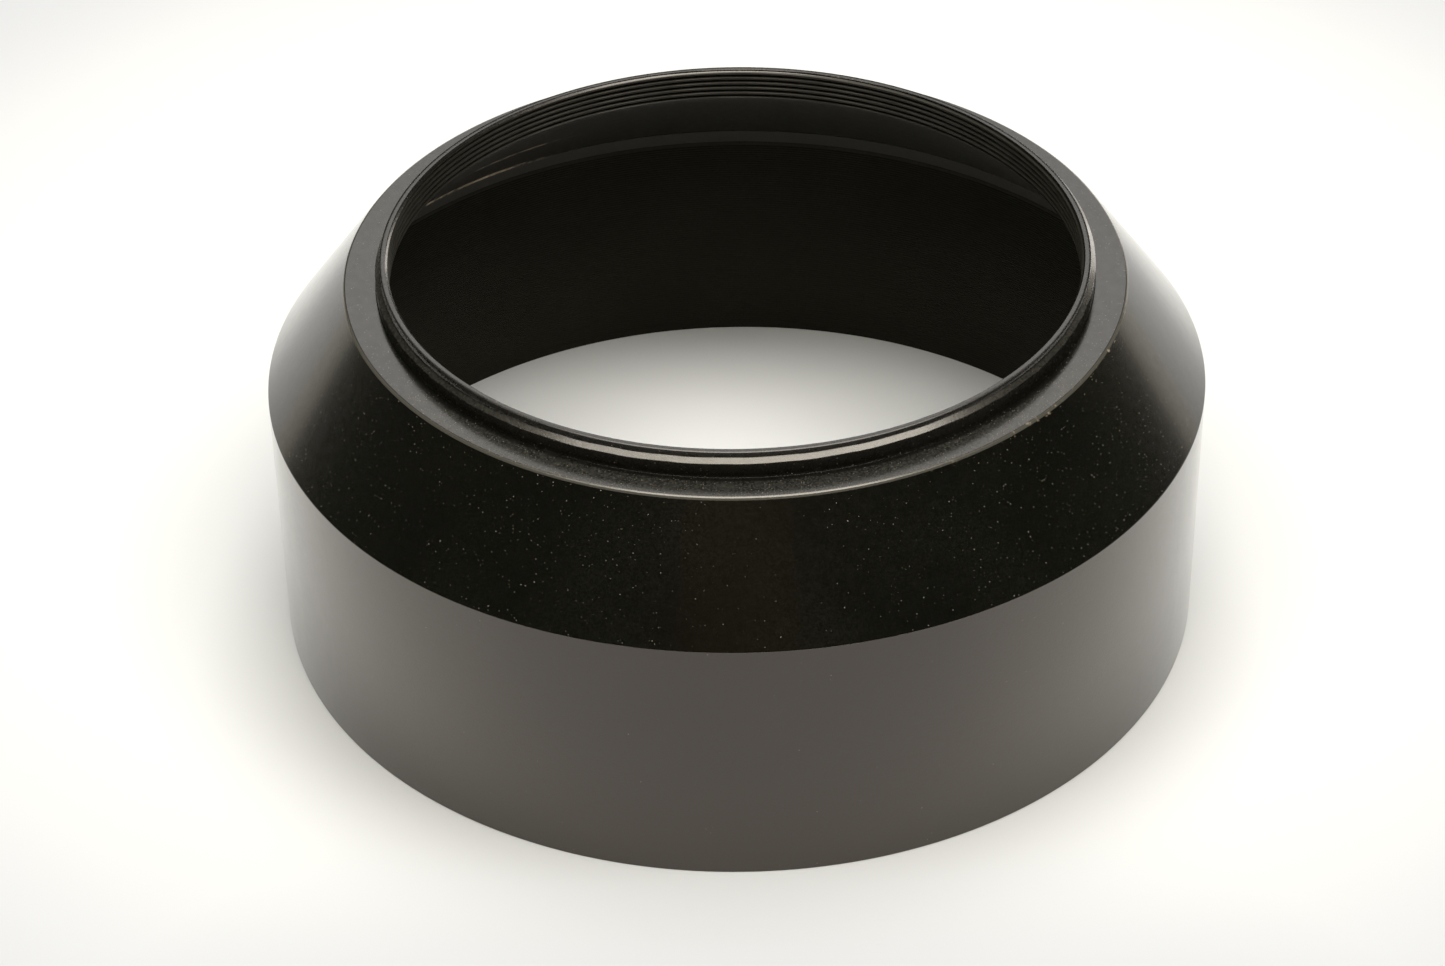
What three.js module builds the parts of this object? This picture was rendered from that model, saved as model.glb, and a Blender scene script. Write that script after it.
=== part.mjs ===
// Screw-in metal lens hood, standing on its wide front mouth with the threaded lens end up.
// Millimetres, +Z up. The origin is on the optical axis, in the plane of the front rim.
import * as THREE from 'three';

// Driving dimensions
const threadRadius = 31.0;         // 62 mm filter thread, the size the hood is sold by
const threadPitch = 0.75;
const threadDepthPerPitch = 0.6;
const threadFlankAngle = Math.PI / 6;
const overallHeight = 35.3;
const pilotHeight = 0.35;          // plain lip above the thread
const seatHeight = 33.2;           // flat face that stops against the lens
const seatRadius = 33.85;
const collarFootHeight = 31.8;     // lower end of the collar, inside the shoulder
const collarFootWall = 0.5;        // wall left where the bore flares out at the collar's foot
const boreRadius = 29.85;
const boreRidges = 5;
const boreRidgePitch = 0.52;
const boreRidgeDepth = 0.3;
const baffleWall = 0.5;
const barrelRadius = 41.0;
const barrelHeight = 23.25;
const barrelWall = 1.1;
const barrelCounterboreWall = 0.75;
const spigotLength = 1.65;
const spigotTaper = 0.65;          // the spigot's bore opens by this much towards the front
const fitGap = 0.1;                // clearance at every seam between two pieces
const edgeBreak = 0.2;             // small chamfer on the turned edges
const ringSegments = 96;

// Worked out from them
const threadDepth = threadPitch * threadDepthPerPitch;
const pilotRadius = threadRadius - threadDepth;
const collarFootBore = threadRadius - collarFootWall;
const barrelBore = barrelRadius - barrelWall;
const counterboreRadius = barrelRadius - barrelCounterboreWall;
const counterboreHeight = barrelHeight - spigotLength;
const spigotRadius = counterboreRadius - fitGap;
const spigotEndBore = barrelBore - fitGap;
const throatRadius = spigotEndBore - spigotTaper;     // where the inner cone meets the spigot

const blackCollar = new THREE.MeshStandardMaterial({ color: 0x1b1a18, roughness: 0.45, metalness: 0.6 });
const blackShoulder = new THREE.MeshStandardMaterial({ color: 0x141412, roughness: 0.5, metalness: 0.5 });
const blackBaffle = new THREE.MeshStandardMaterial({ color: 0x121210, roughness: 0.55, metalness: 0.4 });
const blackBarrel = new THREE.MeshStandardMaterial({ color: 0x1a1816, roughness: 0.38, metalness: 0.6 });

// A turned ring: the profile is [radius, height] points, counter-clockwise, closed here.
function turnedRing(name, profile, material) {
  const points = profile.map(([radius, height]) => new THREE.Vector2(radius, height));
  points.push(points[0].clone());
  const geometry = new THREE.LatheGeometry(points, ringSegments);
  geometry.rotateX(Math.PI / 2);
  const ring = new THREE.Mesh(geometry, material);
  ring.name = name;
  return ring;
}

// Ridges on the bore, listed downward from the mouth of the collar.
function boreRidgeProfile(topHeight) {
  const points = [];
  for (let ridge = 0; ridge < boreRidges; ridge += 1) {
    const crestHeight = topHeight - ridge * boreRidgePitch;
    points.push([boreRadius, crestHeight]);
    points.push([boreRadius + boreRidgeDepth, crestHeight - boreRidgePitch / 2]);
  }
  return points;
}

// Threaded collar: pilot lip, one turn of thread, then the plain neck that goes down through
// the seat and bears on the baffle's upper edge.
function mountCollar() {
  const mouthHeight = overallHeight - boreRidgeDepth;
  const flankDrop = threadDepth * Math.tan(threadFlankAngle);
  const profile = [
    [collarFootBore, collarFootHeight],
    [threadRadius, collarFootHeight],
    [threadRadius, overallHeight - pilotHeight - flankDrop],
    [pilotRadius, overallHeight - pilotHeight],
    [pilotRadius, overallHeight],
    [boreRadius + boreRidgeDepth, overallHeight],
    ...boreRidgeProfile(mouthHeight),
    [boreRadius, mouthHeight - boreRidges * boreRidgePitch],
  ];
  return turnedRing('mount_collar', profile, blackCollar);
}

// Radius of the 45 degree inner cone at a height, moved outward by a skin thickness.
function innerConeRadius(height, skin) {
  return throatRadius - (height - barrelHeight) + skin * Math.SQRT2;
}

// Shoulder: seat face, outside taper, and the spigot that enters the barrel. Its bore is a
// 45 degree cone for the baffle, which stands on a ledge at the spigot's root.
function shoulderCone() {
  const skin = baffleWall + fitGap;
  const collarLedge = collarFootHeight - fitGap;
  const profile = [
    [spigotEndBore, counterboreHeight + fitGap],
    [spigotRadius, counterboreHeight + fitGap],
    [spigotRadius, barrelHeight + fitGap],
    [barrelRadius - edgeBreak, barrelHeight + fitGap],
    [seatRadius, seatHeight - edgeBreak],
    [seatRadius - edgeBreak, seatHeight],
    [threadRadius + fitGap, seatHeight],
    [threadRadius + fitGap, collarLedge],
    [innerConeRadius(collarLedge, skin), collarLedge],
    [innerConeRadius(barrelHeight, skin), barrelHeight],
    [throatRadius, barrelHeight],
  ];
  return turnedRing('shoulder_cone', profile, blackShoulder);
}

// Smooth 45 degree liner of the shoulder, from the collar's foot down to the spigot.
function baffleCone() {
  const top = collarFootHeight - fitGap;
  const foot = barrelHeight + fitGap;
  const profile = [
    [innerConeRadius(foot, 0), foot],
    [innerConeRadius(foot, baffleWall), foot],
    [innerConeRadius(top, baffleWall), top],
    [innerConeRadius(top, 0), top],
  ];
  return turnedRing('baffle_cone', profile, blackBaffle);
}

// Straight front tube: counterbored at the top for the spigot, small chamfers at the front rim.
function frontBarrel() {
  const profile = [
    [barrelBore + edgeBreak, 0],
    [barrelRadius - edgeBreak, 0],
    [barrelRadius, edgeBreak],
    [barrelRadius, barrelHeight - edgeBreak],
    [barrelRadius - edgeBreak, barrelHeight],
    [counterboreRadius, barrelHeight],
    [counterboreRadius, counterboreHeight],
    [barrelBore, counterboreHeight],
    [barrelBore, edgeBreak],
  ];
  return turnedRing('front_barrel', profile, blackBarrel);
}

const group = new THREE.Group();
group.add(mountCollar());
group.add(shoulderCone());
group.add(baffleCone());
group.add(frontBarrel());

export default group;
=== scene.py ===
# Screw-in metal lens hood, standing on its front mouth: four turned black aluminium pieces.
# The fine meshes, finishes, floor, lights and camera are made here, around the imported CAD.
import math

import bpy
import numpy as np
from mathutils import Matrix, Vector


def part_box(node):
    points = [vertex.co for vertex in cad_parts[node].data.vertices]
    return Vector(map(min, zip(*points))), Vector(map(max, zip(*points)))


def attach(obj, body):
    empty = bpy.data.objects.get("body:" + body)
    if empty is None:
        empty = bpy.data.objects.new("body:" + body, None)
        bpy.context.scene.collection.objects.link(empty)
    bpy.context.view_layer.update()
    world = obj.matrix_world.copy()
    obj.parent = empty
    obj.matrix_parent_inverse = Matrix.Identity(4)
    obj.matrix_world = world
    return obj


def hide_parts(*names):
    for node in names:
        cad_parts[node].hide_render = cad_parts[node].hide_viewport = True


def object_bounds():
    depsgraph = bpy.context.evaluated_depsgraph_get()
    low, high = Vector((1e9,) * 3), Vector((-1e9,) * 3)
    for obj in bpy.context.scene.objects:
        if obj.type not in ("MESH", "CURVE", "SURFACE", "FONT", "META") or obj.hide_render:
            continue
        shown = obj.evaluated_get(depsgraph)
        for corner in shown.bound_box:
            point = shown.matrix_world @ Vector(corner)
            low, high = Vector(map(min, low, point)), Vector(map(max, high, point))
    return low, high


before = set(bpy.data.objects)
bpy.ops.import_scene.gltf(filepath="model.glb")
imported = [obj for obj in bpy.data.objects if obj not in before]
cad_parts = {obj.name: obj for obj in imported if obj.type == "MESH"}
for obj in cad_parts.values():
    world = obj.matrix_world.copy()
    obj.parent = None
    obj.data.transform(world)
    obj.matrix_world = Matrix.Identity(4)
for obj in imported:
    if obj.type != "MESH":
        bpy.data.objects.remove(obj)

MM = 0.001                        # metres in a millimetre; sections below are in millimetres
cad_low, cad_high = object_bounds()


# ---------------------------------------------------------------- sizes, read from the imported CAD

def radii(node):
    """Smallest and largest radius of a CAD node about the optical axis, in millimetres."""
    spans = [math.hypot(v.co.x, v.co.y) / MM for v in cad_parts[node].data.vertices]
    return min(spans), max(spans)


def heights(node):
    """Lowest and highest point of a CAD node, in millimetres."""
    low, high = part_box(node)
    return low.z / MM, high.z / MM


barrel_bore, barrel_radius = radii("front_barrel")
barrel_foot, barrel_top = heights("front_barrel")
spigot_foot, seat_height = heights("shoulder_cone")
baffle_bore, baffle_radius = radii("baffle_cone")
baffle_foot, baffle_top = heights("baffle_cone")
collar_bore, thread_radius = radii("mount_collar")
collar_foot, collar_top = heights("mount_collar")


# ---------------------------------------------------------------- fine shape, in millimetres

SEGMENTS = 320                    # steps round a ring
CREASE = math.radians(25)         # faces that meet at more than this shade as a crisp edge
FIT_GAP = 0.1                     # clearance at each seam
TOUCH = 0.01                      # what is left of it where two pieces bear on each other
CRISP = 0.01                      # easing of an edge left sharp, or where two pieces meet flush
SHARP = 0.03                      # easing of a slightly worn edge
SOFT = 0.08                       # easing of a broken edge
COUNTERBORE_WALL = 0.75           # wall of the barrel round the spigot

PILOT_DEPTH = 0.45                # the lip above the thread is this much smaller in radius
THREAD_PITCH = 0.75
FLANK_DROP = 0.33                 # height of the thread's upper flank
FLANK_START = 0.52                # depth of the flank's top below the lip, at the front
RUN_OUT = math.radians(25)        # arc over which the thread climbs back to its start
BORE_PITCH = 0.52
BORE_DEPTH = 0.3                  # 60 degree V grooves in the collar
BORE_GROOVE = 0.62                # first whole groove, this far below the lip at the back
MOUTH_CHAMFER = 0.22
LIP_ROLL = 0.042                  # the lip's top is this much lower at its outer edge
LIP_TOP = 0.98                    # share of the lip's width that its top profile covers
FOOT_BEAD = 0.025                 # the neck swells by this much just above the seat
FLARE_HEIGHT = 0.65               # flare at the collar's foot
ROW = 0.02                        # height of a mesh row where a helix is cut
SEAT_WIDTH = 2.85                 # from the neck to the outer end of the seat's chamfer
SEAT_CHAMFER = 0.24               # width of that chamfer
SEAT_CHAMFER_DROP = 0.19
CHAMFER_CREST = (0.42, 0.36)      # where the chamfer bends, as shares of its width and drop
SEAT_LIP = 0.3                    # height of the land that closes on the neck
LAND_TAPER = 0.1                  # drop over which the shoulder's bore opens below that land
BARREL_GROOVE_PITCH = 0.25
BARREL_GROOVE_DEPTH = 0.05
GROOVES_TOP = 0.3                 # plain bore above the grooves, and below them
GROOVES_FOOT = 0.5


def unit(vector):
    return vector / np.linalg.norm(vector)


def rounded_corner(before, here, after, ease, steps):
    """Points of a fillet of radius ease at a corner, and how far it reaches along each side."""
    back = unit(before - here)
    ahead = unit(after - here)
    half = math.acos(float(np.clip(back @ ahead, -1, 1))) / 2
    trim = ease / math.tan(half)
    centre = here + unit(back + ahead) * (ease / math.sin(half))
    start = here + back * trim - centre
    end = here + ahead * trim - centre
    turn = math.pi - 2 * half
    points = []
    for step in range(steps + 1):
        share = step / steps
        ahead_share = math.sin(share * turn) / math.sin(turn)
        back_share = math.sin((1 - share) * turn) / math.sin(turn)
        points.append(centre + start * back_share + end * ahead_share)
    return points, trim


def section(corners, steps=4, support=0.06):
    """Closed section from [radius, height, easing] corners, counter-clockwise.

    A long straight run gets a support point near each end, which keeps its shading flat."""
    places = [np.array(corner[:2], float) for corner in corners]
    points = []
    for index, corner in enumerate(corners):
        here = places[index]
        before = places[index - 1]
        after = places[(index + 1) % len(places)]
        arc, trim = rounded_corner(before, here, after, corner[2], steps)
        room = 4 * (trim + support)
        if np.linalg.norm(before - here) > room:
            points.append(here + unit(before - here) * (trim + support))
        points += arc
        if np.linalg.norm(after - here) > room:
            points.append(here + unit(after - here) * (trim + support))
    return np.array(points)


def lathe(name, sections):
    """Closed ring from one [radius, height] section for each step of azimuth, in millimetres."""
    steps, count = sections.shape[:2]
    angles = azimuths(steps)[:, None]
    radius = sections[..., 0] * MM
    corners = np.stack([radius * np.cos(angles), radius * np.sin(angles), sections[..., 1] * MM], -1)
    here = np.arange(steps * count).reshape(steps, count)
    ahead = np.roll(here, -1, axis=0)
    faces = np.stack([here, ahead, np.roll(ahead, -1, axis=1), np.roll(here, -1, axis=1)], -1)
    mesh = bpy.data.meshes.new(name)
    mesh.from_pydata(corners.reshape(-1, 3), [], faces.reshape(-1, 4))
    mesh.shade_smooth()
    mesh.set_sharp_from_angle(angle=CREASE)
    piece = bpy.data.objects.new(name, mesh)
    bpy.context.scene.collection.objects.link(piece)
    return piece


def azimuths(steps=SEGMENTS):
    return np.arange(steps) * (2 * math.pi / steps)


def plain_ring(name, outline):
    return lathe(name, np.tile(outline, (SEGMENTS, 1, 1)))


# ---------------------------------------------------------------- pieces

def flank_height(angles):
    """Height of the top of the thread's flank: one right-hand turn, and a run-out at the back."""
    turned = np.mod(angles - math.pi / 2 - RUN_OUT / 2, 2 * math.pi)
    turn = 2 * math.pi - RUN_OUT
    climb = np.where(turned < turn, turned / turn, (2 * math.pi - turned) / RUN_OUT)
    front = collar_top - FLANK_START
    return front + THREAD_PITCH * (climb - 0.5)


def collar_wall(angles, levels):
    """Outer radius of the collar: lip, thread flank, then the plain neck."""
    cut = (flank_height(angles)[:, None] - levels) / FLANK_DROP
    above_seat = (levels - seat_height) / (2 * FOOT_BEAD)
    bead = FOOT_BEAD * np.clip(2 - above_seat, 0, 1)
    return thread_radius - FOOT_BEAD + bead - PILOT_DEPTH * (1 - np.clip(cut, 0, 1))


def collar_bore_radius(angles, levels):
    """Bore of the collar: a fine right-hand helix between a chamfered mouth and a flared foot."""
    groove = (levels - (collar_top - BORE_GROOVE)) / BORE_PITCH
    phase = groove - (angles[:, None] - math.pi / 2) / (2 * math.pi)
    beside = np.abs(phase - np.round(phase)) * BORE_PITCH
    ridged = collar_bore + np.maximum(BORE_DEPTH - beside * math.sqrt(3), 0)
    mouth = collar_bore + MOUTH_CHAMFER - (collar_top - levels)
    flare = collar_bore + FLARE_HEIGHT - (levels - collar_foot)
    return np.maximum(ridged, np.maximum(mouth, flare))


def lip_crown(outer, inner, steps=8):
    """Top of the lip, from its rolled outer edge to its flat inner half."""
    share = np.linspace(0, 1, steps)
    drop = LIP_ROLL * np.clip(1 - 2 * share, 0, 1) ** 2
    crown = np.stack([outer - CRISP + (inner - outer) * share * LIP_TOP, collar_top - drop], -1)
    return np.vstack([[outer - CRISP * 0.3, collar_top - LIP_ROLL - CRISP], crown])


def mount_collar():
    angles = azimuths()
    lowest_flank = collar_top - FLANK_START - THREAD_PITCH / 2 - FLANK_DROP
    dense = np.arange(lowest_flank - 5 * ROW, collar_top - LIP_ROLL - ROW, ROW)
    bead_levels = seat_height + FOOT_BEAD * np.array([0, 2, 4])
    wall_levels = np.concatenate([[collar_foot, collar_foot + SOFT], bead_levels, dense])
    bore_levels = np.arange(collar_top - CRISP, collar_foot, -ROW)
    wall = np.stack([collar_wall(angles, wall_levels), np.tile(wall_levels, (SEGMENTS, 1))], -1)
    bore = np.stack([collar_bore_radius(angles, bore_levels), np.tile(bore_levels, (SEGMENTS, 1))], -1)
    lip = lip_crown(thread_radius - PILOT_DEPTH, collar_bore + MOUTH_CHAMFER)
    return lathe("collar_with_thread", np.concatenate([wall, np.tile(lip, (SEGMENTS, 1, 1)), bore], 1))


def cone_radius(level, skin=0.0):
    """Radius of the 45 degree inner cone at a height, moved outward by a skin thickness."""
    return baffle_bore + (baffle_top - level) + skin * math.sqrt(2)


def shoulder_cone():
    wall = (baffle_radius - cone_radius(baffle_foot)) / math.sqrt(2)
    skin = wall + FIT_GAP
    foot = barrel_top + TOUCH
    spigot_radius = barrel_radius - COUNTERBORE_WALL - FIT_GAP
    spigot_bore = barrel_bore
    bearing = spigot_foot - FIT_GAP + TOUCH
    rim = thread_radius + SEAT_WIDTH
    crest_width = SEAT_CHAMFER * CHAMFER_CREST[0]
    crest_drop = SEAT_CHAMFER_DROP * CHAMFER_CREST[1]
    return plain_ring("shoulder_with_spigot", section([
        [spigot_bore, bearing, CRISP],
        [spigot_radius, bearing, SHARP],
        [spigot_radius, foot, SHARP],
        [barrel_radius - TOUCH, foot, CRISP],
        [rim, seat_height - SEAT_CHAMFER_DROP, CRISP],
        [rim - crest_width, seat_height - crest_drop, SHARP],
        [rim - SEAT_CHAMFER, seat_height, CRISP],
        [thread_radius + TOUCH, seat_height, CRISP],
        [thread_radius + TOUCH, seat_height - SEAT_LIP, CRISP],
        [thread_radius + FIT_GAP, seat_height - SEAT_LIP - LAND_TAPER, CRISP],
        [thread_radius + FIT_GAP, baffle_top, SHARP],
        [cone_radius(baffle_top, skin), baffle_top, SHARP],
        [cone_radius(barrel_top, skin), barrel_top, SHARP],
        [cone_radius(barrel_top), barrel_top, SHARP],
    ]))


def baffle_cone():
    wall = (baffle_radius - cone_radius(baffle_foot)) / math.sqrt(2)
    return plain_ring("baffle_liner", section([
        [cone_radius(baffle_foot), baffle_foot, SHARP],
        [cone_radius(baffle_foot, wall), baffle_foot, SHARP],
        [cone_radius(baffle_top, wall), baffle_top, SHARP],
        [cone_radius(baffle_top), baffle_top, SHARP],
    ]))


def bore_grooves(top, foot):
    """Fine ring grooves of the barrel's bore, listed downward."""
    count = int((top - foot) / BARREL_GROOVE_PITCH)
    points = []
    for groove in range(count):
        crest = top - groove * BARREL_GROOVE_PITCH
        points.append([barrel_bore, crest])
        points.append([barrel_bore + BARREL_GROOVE_DEPTH, crest - BARREL_GROOVE_PITCH / 2])
    points.append([barrel_bore, top - count * BARREL_GROOVE_PITCH])
    return np.array(points)


def front_barrel():
    counterbore = barrel_radius - COUNTERBORE_WALL
    ledge = spigot_foot - FIT_GAP
    outline = section([
        [barrel_bore, barrel_foot, SOFT],
        [barrel_radius, barrel_foot, SOFT],
        [barrel_radius, barrel_top, CRISP],
        [counterbore, barrel_top, CRISP],
        [counterbore, ledge, SHARP],
        [barrel_bore, ledge, CRISP],
    ])
    grooves = bore_grooves(ledge - GROOVES_TOP, barrel_foot + GROOVES_FOOT)
    return plain_ring("barrel_with_ribbed_bore", np.concatenate([outline, grooves]))


# ---------------------------------------------------------------- finishes

GREEN_BLACK = ((0.0002, 0.0004, 0.0001), (0.0066, 0.0066, 0.0042))
BROWN_BLACK = ((0.0009, 0.0007, 0.0003), (0.0034, 0.0028, 0.0016))
SMUDGED_BLACK = ((0.0004, 0.0003, 0.0001), (0.0100, 0.0084, 0.0062))
MATT_BLACK = ((0.0060, 0.0062, 0.0036), (0.0110, 0.0110, 0.0074))
BORE_BLACK = ((0.0195, 0.0187, 0.0135), (0.0275, 0.0262, 0.0195))
DUST_YELLOW = (0.36, 0.26, 0.10)
DUST_PALE = (0.42, 0.39, 0.32)
DUST_FILM = (0.040, 0.038, 0.030)
# colour of worn-through metal on the shoulder, also used for the painted highlight streaks inside
BARE_METAL_AND_HIGHLIGHT = (0.50, 0.40, 0.28)
RUBBED_GREY = (0.075, 0.070, 0.058)
WARM = (1.0, 0.875, 0.765)        # colours of the metal's reflection
MILD = (1.0, 0.92, 0.82)

GRAIN_SCALE = 5.0                 # noise scales, for each millimetre
CLOUD_SCALE = 0.12
SPOT_SCALE = 1.4
FILM_SCALE = 6.0
FILM_DENSITY = (0.5, 1.2)         # dust density at which the film starts and is full
SMALL_SPECKS = 5.5                # cells for each millimetre
SMALL_REACH = 0.23                # largest radius of a speck, in cells
LARGE_SPECKS = 1.0
LARGE_REACH = 0.09
LARGE_SHARE = 0.4                 # density of the large specks against the small ones
BEND_SCALE = 2.5
BEND = 0.25
MARK_SPACING = 0.08               # turning marks: their distance in millimetres
MARK_CHANGE = 0.03                # how fast they change along their length
MARK_DEPTH = 0.4                  # and their depth against the grain's
ROUGHNESS_SPREAD = 0.02
DULLING = 0.06                    # roughness added on dulled places, and on dust
DUST_ROUGHNESS = 0.4
COAT_IOR = 1.2
COAT_ROUGHNESS = 0.1
# width and fade of the painted highlight streaks
STREAK_WIDTH = 0.4
STREAK_FADE = 0.12


def add_node(tree, kind, settings=None, inputs=None):
    """New shader node with its settings made, and its inputs set or linked."""
    node = tree.nodes.new("ShaderNode" + kind)
    for key, value in (settings or {}).items():
        setattr(node, key, value)
    for key, value in (inputs or {}).items():
        if isinstance(value, bpy.types.NodeSocket):
            tree.links.new(value, node.inputs[key])
        else:
            node.inputs[key].default_value = value
    return node


def maths(tree, operation, first, second=0.0):
    return add_node(tree, "Math", {"operation": operation}, {0: first, 1: second}).outputs[0]


def product(tree, first, *others):
    for other in others:
        first = maths(tree, "MULTIPLY", first, other)
    return first


def total(tree, first, *others):
    for other in others:
        first = maths(tree, "ADD", first, other)
    return first


def spread(tree, value, low, high, to_low=0.0, to_high=1.0):
    """Value mapped smoothly from low..high to to_low..to_high, and held there outside."""
    node = add_node(tree, "MapRange", {"interpolation_type": "SMOOTHSTEP"}, {
        "Value": value, "From Min": low, "From Max": high, "To Min": to_low, "To Max": to_high,
    })
    return node.outputs["Result"]


def blend(tree, share, first, second):
    """Colour between first and second."""
    node = add_node(tree, "Mix", {"data_type": "RGBA"}, {"Factor": share})
    for socket, value in ((node.inputs[6], first), (node.inputs[7], second)):
        if isinstance(value, bpy.types.NodeSocket):
            tree.links.new(value, socket)
        else:
            socket.default_value = (*value, 1.0)
    return node.outputs[2]


def scaled(tree, vector, factor):
    node = add_node(tree, "VectorMath", {"operation": "SCALE"}, {0: vector, "Scale": factor})
    return node.outputs[0]


def flattened(tree, vector):
    """Vector with its height set to zero."""
    node = add_node(tree, "VectorMath", {"operation": "MULTIPLY"}, {0: vector, 1: (1, 1, 0)})
    return node.outputs[0]


class Surface:
    """Place on a piece in millimetres, its radius about the axis and its height."""

    def __init__(self, tree):
        coordinates = add_node(tree, "TexCoord").outputs["Object"]
        self.place = scaled(tree, coordinates, 1 / MM)
        flat = flattened(tree, self.place)
        length = add_node(tree, "VectorMath", {"operation": "LENGTH"}, {0: flat})
        self.radius = length.outputs["Value"]
        self.height = add_node(tree, "SeparateXYZ", inputs={0: self.place}).outputs["Z"]


def noise(tree, place, scale, detail=2.0):
    node = add_node(tree, "TexNoise", inputs={"Vector": place, "Scale": scale, "Detail": detail})
    return node.outputs["Fac"]


def turning_marks(tree, surface, spacing):
    """Fine lines round the axis, which change slowly along their length."""
    around = scaled(tree, surface.place, MARK_CHANGE)
    parts = add_node(tree, "SeparateXYZ", inputs={0: around})
    across = product(tree, total(tree, surface.radius, surface.height), 1 / spacing)
    vector = add_node(tree, "CombineXYZ", inputs={0: parts.outputs[0], 1: parts.outputs[1], 2: across})
    return noise(tree, vector.outputs[0], 1.0, 3.0)


def within(tree, value, low, high, soft=0.05):
    """Mask of the values between low and high, with soft ends."""
    above = spread(tree, value, low - soft, low + soft)
    below = spread(tree, value, high - soft, high + soft, 1.0, 0.0)
    return product(tree, above, below)


def towards(tree, surface, azimuth, reach):
    """Mask of the surface within reach degrees of an azimuth about the axis, fading to its ends."""
    flat = flattened(tree, surface.place)
    facing = add_node(tree, "VectorMath", {"operation": "NORMALIZE"}, {0: flat}).outputs[0]
    angle = math.radians(azimuth)
    way = (math.cos(angle), math.sin(angle), 0)
    agree = add_node(tree, "VectorMath", {"operation": "DOT_PRODUCT"}, {0: facing, 1: way})
    edge = math.cos(math.radians(reach))
    full = math.cos(math.radians(reach / 3))
    return spread(tree, agree.outputs["Value"], edge, full)


def specks(tree, place, cells, reach, density):
    """Mask of grains: cells for each millimetre, their largest radius in cells, and their share.

    Each grain has a strength of its own, mostly weak. The second result is a colour chance."""
    node = add_node(tree, "TexVoronoi", inputs={"Vector": place, "Scale": cells})
    chance = add_node(tree, "SeparateColor", inputs={0: node.outputs["Color"]})
    size = product(tree, chance.outputs[0], reach)
    grain = maths(tree, "LESS_THAN", node.outputs["Distance"], size)
    chosen = maths(tree, "LESS_THAN", chance.outputs[1], density)
    strength = maths(tree, "POWER", chance.outputs[2], 2.0)
    return product(tree, grain, chosen, strength), chance.outputs[0]


def bent(tree, place, scale, amount):
    """Place moved about by noise, which makes round grains irregular."""
    wave = add_node(tree, "TexNoise", inputs={"Vector": place, "Scale": scale}).outputs["Color"]
    shift = scaled(tree, wave, amount)
    return add_node(tree, "VectorMath", {"operation": "ADD"}, {0: place, 1: shift}).outputs[0]


def dust_film(tree, place, density):
    """Mask of a thin uneven film, where the dust is thickest."""
    patches = spread(tree, noise(tree, place, FILM_SCALE, 1.0), 0.35, 0.8)
    return product(tree, spread(tree, density, *FILM_DENSITY), patches)


def dusted(tree, place, tone, density):
    """Tone with a film and specks of dust over it, and the mask of the specks."""
    tone = blend(tree, dust_film(tree, place, density), tone, DUST_FILM)
    small, hue = specks(tree, place, SMALL_SPECKS, SMALL_REACH, density)
    irregular = bent(tree, place, BEND_SCALE, BEND)
    large = specks(tree, irregular, LARGE_SPECKS, LARGE_REACH, product(tree, density, LARGE_SHARE))[0]
    settled = maths(tree, "MINIMUM", total(tree, small, large), 1.0)
    colour = blend(tree, spread(tree, hue, 0.3, 0.9), DUST_YELLOW, DUST_PALE)
    return blend(tree, settled, tone, colour), settled


def anodised(name, tones, tint, roughness, grain, dust, gloss, coat=0.9, extra_dust=None,
             wear_and_highlight=None, rubbed=None, dulled=None):
    """Black anodised aluminium with blasted grain, turning marks, dust and worn places, and on some
    pieces painted highlight streaks.

    The mask arguments are functions: extra_dust gives more dust, the next one worn-through metal and
    painted highlight streaks, rubbed gives edges rubbed grey, and dulled gives rougher places."""
    material = bpy.data.materials.new(name)
    material.use_nodes = True
    tree = material.node_tree
    shader = tree.nodes["Principled BSDF"]
    surface = Surface(tree)
    place = surface.place
    fine = noise(tree, place, GRAIN_SCALE, 2.0)
    cloud = noise(tree, place, CLOUD_SCALE, 3.0)
    spots = noise(tree, place, SPOT_SCALE, 4.0)
    mottle = product(tree, spread(tree, fine, 0.3, 0.7), spread(tree, cloud, 0.1, 0.9))
    density = total(tree, extra_dust(tree, surface), dust) if extra_dust else dust
    tone, settled = dusted(tree, place, blend(tree, mottle, *tones), density)
    least = roughness - ROUGHNESS_SPREAD
    most = roughness + ROUGHNESS_SPREAD
    rough = spread(tree, spots, 0.3, 0.7, least, most)
    if rubbed:
        tone = blend(tree, rubbed(tree, surface), tone, RUBBED_GREY)
    if dulled:
        rough = total(tree, rough, product(tree, dulled(tree, surface), DULLING))
    # worn-through metal on the shoulder, and painted highlight streaks on the band and the inner cone
    if wear_and_highlight:
        tone = blend(tree, wear_and_highlight(tree, surface), tone, BARE_METAL_AND_HIGHLIGHT)
    rough = total(tree, rough, product(tree, settled, DUST_ROUGHNESS))
    lines = product(tree, turning_marks(tree, surface, MARK_SPACING), grain * MARK_DEPTH)
    relief = total(tree, product(tree, fine, grain), lines)
    bump = add_node(tree, "Bump", inputs={"Height": relief, "Distance": MM})
    tree.links.new(tone, shader.inputs["Base Color"])
    tree.links.new(rough, shader.inputs["Roughness"])
    tree.links.new(bump.outputs["Normal"], shader.inputs["Normal"])
    shader.inputs["IOR"].default_value = gloss
    shader.inputs["Specular Tint"].default_value = (*tint, 1.0)
    shader.inputs["Coat Weight"].default_value = coat
    shader.inputs["Coat IOR"].default_value = COAT_IOR
    shader.inputs["Coat Roughness"].default_value = COAT_ROUGHNESS
    return material


def shoulder_dust(tree, surface):
    """Thick dust on the front of the seat, a little more on both sides of the cone's front."""
    level = within(tree, surface.height, seat_height - 0.1, seat_height + 0.2)
    clear_of_neck = spread(tree, surface.radius, thread_radius + 0.3, thread_radius + 0.9)
    thick = product(tree, level, clear_of_neck, towards(tree, surface, -88, 75), 1.4)
    left = product(tree, towards(tree, surface, -138, 55), 0.24)
    right = product(tree, towards(tree, surface, -25, 60), 0.28)
    return total(tree, thick, left, right)


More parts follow.
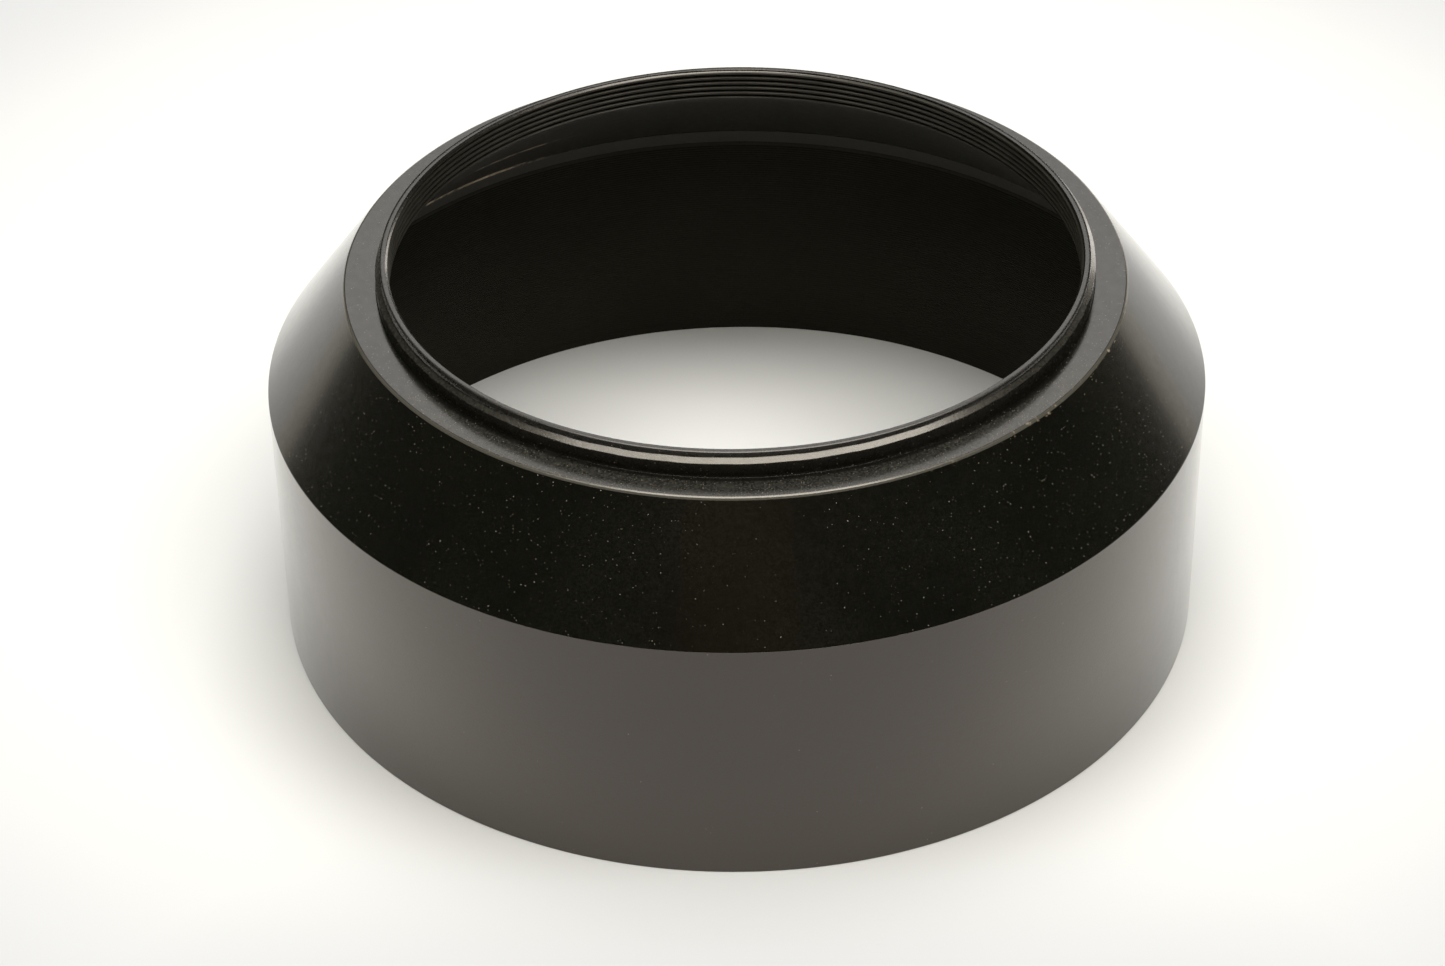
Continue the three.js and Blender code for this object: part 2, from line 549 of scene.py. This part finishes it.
def collar_dust(tree, surface):
    """Dust caught on the front of the thread."""
    below_lip = within(tree, surface.height, seat_height, collar_top - 0.1)
    return product(tree, below_lip, towards(tree, surface, -90, 80), 0.5)


def painted_streak(tree, surface, azimuth, reach, radius, height):
    """Faint painted highlight streak round a ring, broken by noise."""
    near = STREAK_WIDTH / 2
    ring = within(tree, surface.radius, radius - near, radius + near, STREAK_FADE)
    level = within(tree, surface.height, height - near, height + near, STREAK_FADE)
    broken = spread(tree, noise(tree, surface.place, 0.9, 3.0), 0.35, 0.6)
    return product(tree, ring, level, towards(tree, surface, azimuth, reach), broken)


def seat_front(tree, surface):
    """The front half of the seat."""
    level = within(tree, surface.height, seat_height - 0.02, seat_height + 0.2, 0.01)
    return product(tree, level, towards(tree, surface, -90, 80))


def chamfer_edge(tree, surface):
    """The seat's outer chamfer."""
    foot = seat_height - SEAT_CHAMFER_DROP - 0.02
    return within(tree, surface.height, foot, seat_height - 0.02, 0.015)


def thread_crest(tree, surface):
    """The thread's flank and crest, unevenly."""
    grainy = spread(tree, noise(tree, surface.place, 4.0, 2.0), 0.3, 0.7, 0.1, 0.4)
    below = collar_top - FLANK_START - THREAD_PITCH / 2 - FLANK_DROP
    zone = within(tree, surface.height, below, collar_top - 0.2)
    pilot = thread_radius - PILOT_DEPTH
    proud = spread(tree, surface.radius, pilot + 0.03, pilot + 0.08)
    tip = spread(tree, surface.radius, thread_radius - 0.06, thread_radius - 0.03, 1.0, 0.0)
    return product(tree, zone, grainy, proud, tip)


def shoulder_wear(tree, surface):
    """Rubbed spots on the seat's chamfer, at the right."""
    edge = thread_radius + SEAT_WIDTH
    rim = within(tree, surface.radius, edge - 0.25, edge + 0.1)
    spots = spread(tree, noise(tree, surface.place, 1.6, 3.0), 0.60, 0.72)
    return product(tree, rim, spots, towards(tree, surface, -25, 45), 0.7)


def band_painted_highlight(tree, surface):
    """Painted highlight along the upper edge of the band inside, at the back left."""
    return painted_streak(tree, surface, 134, 19, cone_radius(barrel_top), barrel_top)


def baffle_painted_highlights(tree, surface):
    """Painted highlight streaks half-way up the inner cone and along its foot, at the back left."""
    level = (baffle_foot + baffle_top) / 2
    upper = product(tree, painted_streak(tree, surface, 126, 13, cone_radius(level), level), 0.5)
    lower = painted_streak(tree, surface, 134, 19, cone_radius(baffle_foot), baffle_foot)
    return total(tree, upper, lower)


def line_bore(piece, material, height):
    """Second material on the faces of a ring that look towards the axis, below a height in mm."""
    piece.data.materials.append(material)
    for face in piece.data.polygons:
        inward = face.normal.x * face.center.x + face.normal.y * face.center.y < 0
        if inward and face.center.z < height * MM:
            face.material_index = len(piece.data.materials) - 1


def wear(piece, material, node):
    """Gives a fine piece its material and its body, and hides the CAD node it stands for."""
    piece.data.materials.append(material)
    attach(piece, "root")
    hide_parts(node)


# ---------------------------------------------------------------- studio

def aim(obj, place, target):
    obj.location = place
    obj.rotation_euler = (Vector(target) - Vector(place)).to_track_quat("-Z", "Y").to_euler()


CAMERA_PLACE = (0.0, -6.6927, 5.1456)     # in hood radii
CAMERA_PITCH = 0.6323                     # radians
CAMERA_YAW = -0.0050
CAMERA_ROLL = -0.0154
FOCAL_LENGTH = 94.157                     # millimetres, on a sensor this wide
SENSOR_WIDTH = 36.0


def camera():
    """Camera above and in front of the hood, looking 36 degrees down, with a slight roll."""
    data = bpy.data.cameras.new("camera")
    data.lens = FOCAL_LENGTH
    data.sensor_width = SENSOR_WIDTH
    data.clip_end = 12.0
    view = bpy.data.objects.new("camera", data)
    bpy.context.scene.collection.objects.link(view)
    bpy.context.scene.camera = view
    turn = Matrix.Rotation(-CAMERA_YAW, 4, "Z")
    turn = turn @ Matrix.Rotation(math.pi / 2 - CAMERA_PITCH, 4, "X")
    turn = turn @ Matrix.Rotation(CAMERA_ROLL, 4, "Z")
    place = Vector(CAMERA_PLACE) * cad_high.x
    view.matrix_world = Matrix.Translation(place) @ turn


def softbox(name, place, target, width, depth, radiance, colour=(1, 1, 1)):
    """Area light of an even radiance, hidden from the camera."""
    data = bpy.data.lights.new(name, "AREA")
    data.shape = "RECTANGLE"
    data.size = width
    data.size_y = depth
    data.energy = radiance * math.pi * width * depth
    data.color = colour
    light = bpy.data.objects.new(name, data)
    bpy.context.scene.collection.objects.link(light)
    aim(light, place, target)
    light.visible_camera = False


ROUND = 96                        # steps round the table and the wall
TABLE_RADIUS = 3.0                # metres, here and below
TABLE_PAINTED_LIGHT_MIDDLE = (0.0, 0.036, 0.0)  # painted light: the table's colour is brightest here, and painted shade dims it further out
TABLE_PAINTED_LIGHT_REACH = 0.072
TABLE_PAINTED_SHADE_REACH = 0.115
TABLE_PAINTED_SHADOW_EDGE = -0.045              # painted shadow: the table's colour dims in front of the hood too
TABLE_PAINTED_SHADOW_FADE = 0.015
TABLE_FAR = (0.2, 0.4)
# colours of the table's painted light and painted shade
PAINTED_LIGHT_WHITE = (0.785, 0.782, 0.772)
PAINTED_SHADE_WHITE = (0.616, 0.619, 0.638)
FAR_WHITE = (0.66, 0.63, 0.57)
WALL_RADIUS = 2.9
WALL_HEIGHT = 1.4


def staged(name, corners, faces, material_name):
    """Part of the studio that isn't part of the object, and the shader of its rough material."""
    mesh = bpy.data.meshes.new(name)
    mesh.from_pydata(corners, [], faces)
    piece = bpy.data.objects.new(name, mesh)
    bpy.context.scene.collection.objects.link(piece)
    material = bpy.data.materials.new(material_name)
    material.use_nodes = True
    mesh.materials.append(material)
    shader = material.node_tree.nodes["Principled BSDF"]
    shader.inputs["Roughness"].default_value = 0.9
    return piece, material.node_tree, shader


def painted_table_shade(tree):
    """White with painted shade: dimmer away from the hood, a painted shadow in front of it, and warmer
    far out.
    """
    coordinates = add_node(tree, "TexCoord").outputs["Object"]
    away = add_node(tree, "VectorMath", {"operation": "DISTANCE"}, {0: coordinates, 1: TABLE_PAINTED_LIGHT_MIDDLE})
    distance = away.outputs["Value"]
    depth = add_node(tree, "SeparateXYZ", inputs={0: coordinates}).outputs["Y"]
    # painted shadow in front of the hood, and painted shade away from it
    front = spread(tree, depth, TABLE_PAINTED_SHADOW_EDGE - TABLE_PAINTED_SHADOW_FADE, TABLE_PAINTED_SHADOW_EDGE + TABLE_PAINTED_SHADOW_FADE, 0.95, 0.0)
    painted_shade = maths(tree, "MAXIMUM", spread(tree, distance, TABLE_PAINTED_LIGHT_REACH, TABLE_PAINTED_SHADE_REACH), front)
    tone = blend(tree, painted_shade, PAINTED_LIGHT_WHITE, PAINTED_SHADE_WHITE)
    return blend(tree, spread(tree, distance, *TABLE_FAR), tone, FAR_WHITE)


def floor():
    rim = [(TABLE_RADIUS * math.cos(a), TABLE_RADIUS * math.sin(a), 0.0) for a in azimuths(ROUND)]
    # the table's colour carries painted light and painted shade
    tree, shader = staged("floor", rim, [list(range(ROUND))], "white_table_painted_shade")[1:]
    tree.links.new(painted_table_shade(tree), shader.inputs["Base Color"])
    shader.inputs["Specular IOR Level"].default_value = 0.1


def backdrop():
    """Pale wall round the table, for low views. It is kept out of reflections and shadows."""
    rim = [(WALL_RADIUS * math.cos(a), WALL_RADIUS * math.sin(a)) for a in azimuths(ROUND)]
    corners = [(x, y, 0.0) for x, y in rim] + [(x, y, WALL_HEIGHT) for x, y in rim]
    faces = []
    for here in range(ROUND):
        ahead = (here + 1) % ROUND
        faces.append((here, ahead, ROUND + ahead, ROUND + here))
    piece, _, shader = staged("backdrop", corners, faces, "pale_wall")
    shader.inputs["Base Color"].default_value = (0.6, 0.6, 0.59, 1.0)
    shader.inputs["Emission Color"].default_value = (1.0, 1.0, 0.99, 1.0)
    shader.inputs["Emission Strength"].default_value = 0.45
    piece.visible_glossy = False
    piece.visible_diffuse = False
    piece.visible_shadow = False


KEY_HEIGHT = 2.0                  # metres, for the overhead softboxes
KEY_WIDTH = 1.14
KEY_SIDE = 0.07
KEY_WHITE = (1.0, 0.985, 0.94)
WING_DEPTH = 0.9
WING_MIDDLE = -0.35
ROOM_TONE = (0.042, 0.044, 0.033, 1.0)
KEY_PANELS = (                    # name, nearer end, further end, radiance, colour
    ("key_near", -1.42, -0.80, 3.6, (1.0, 0.97, 0.85)),
    ("key_middle", -0.80, 0.20, 6.0, KEY_WHITE),
    ("key_far", 0.20, 0.80, 5.0, (1.0, 1.0, 0.99)),
    ("key_end", 0.80, 1.60, 2.7, (1.0, 1.0, 1.0)),
)
WING_PANELS = (                   # name, side, width, radiance
    ("wing_left", -0.88, 0.72, 5.2),
    ("wing_right", 1.08, 0.86, 6.6),
)


def overhead(name, side, middle, width, depth, radiance, colour):
    softbox(name, (side, middle, KEY_HEIGHT), (side, middle, 0), width, depth, radiance, colour)


def studio():
    """A long softbox overhead with a wing at each side, and panels behind and in front."""
    scene = bpy.context.scene
    scene.view_settings.view_transform = "Standard"
    world = bpy.data.worlds.new("studio")
    world.use_nodes = True
    world.node_tree.nodes["Background"].inputs["Color"].default_value = ROOM_TONE
    scene.world = world
    floor()
    backdrop()
    for name, near, far, radiance, colour in KEY_PANELS:
        overhead(name, KEY_SIDE, (near + far) / 2, KEY_WIDTH, far - near, radiance, colour)
    for name, side, width, radiance in WING_PANELS:
        overhead(name, side, WING_MIDDLE, width, WING_DEPTH, radiance, KEY_WHITE)
    softbox("high_back", (0.0, 2.4, 1.75), (0, 0, 0), 1.6, 0.7, 1.5)
    softbox("warm_front", (0.0, -1.6, 1.17), (0, 0, 0), 0.9, 0.6, 0.045, (1.0, 0.4, 0.15))
    softbox("low_back", (1.3, 2.2, 0.25), (0, 0, 0.1), 1.4, 0.5, 3.1, (1.0, 0.96, 0.90))


# ---------------------------------------------------------------- build

camera()
collar_finish = anodised(
    "anodised_collar", BROWN_BLACK, MILD, roughness=0.27, grain=0.006, dust=0.10, gloss=1.80,
    extra_dust=collar_dust, rubbed=thread_crest,
)
shoulder_finish = anodised(
    "anodised_shoulder", GREEN_BLACK, MILD, roughness=0.21, grain=0.003, dust=0.07, gloss=1.74,
    extra_dust=shoulder_dust, wear_and_highlight=shoulder_wear, rubbed=chamfer_edge, dulled=seat_front,
)
# inner cone: anodised, with painted highlight streaks at the back left
baffle_finish_and_highlight = anodised(
    "anodised_baffle_painted_highlight", MATT_BLACK, MILD, roughness=0.40, grain=0.002, dust=0.02, gloss=1.45,
    coat=0, wear_and_highlight=baffle_painted_highlights,
)
barrel_finish = anodised(
    "anodised_barrel", SMUDGED_BLACK, WARM, roughness=0.25, grain=0.014, dust=0.015, gloss=1.79,
)
bore_finish = anodised(
    "matt_bore", BORE_BLACK, MILD, roughness=0.6, grain=0.002, dust=0.0, gloss=1.15, coat=0,
)
ridge_finish = anodised(
    "matt_collar_bore", BORE_BLACK, MILD, roughness=0.45, grain=0.002, dust=0.0, gloss=1.45, coat=0,
)
# band: anodised, with a painted highlight along its upper edge
band_finish_and_highlight = anodised(
    "anodised_band_painted_highlight", MATT_BLACK, MILD, roughness=0.45, grain=0.002, dust=0.0, gloss=1.35,
    coat=0, wear_and_highlight=band_painted_highlight,
)

collar = mount_collar()
shoulder = shoulder_cone()
baffle = baffle_cone()
barrel = front_barrel()
wear(collar, collar_finish, "mount_collar")
wear(shoulder, shoulder_finish, "shoulder_cone")
wear(baffle, baffle_finish_and_highlight, "baffle_cone")
wear(barrel, barrel_finish, "front_barrel")
line_bore(shoulder, band_finish_and_highlight, barrel_top)
line_bore(barrel, bore_finish, barrel_top)
line_bore(collar, ridge_finish, collar_top - MOUTH_CHAMFER)
studio()
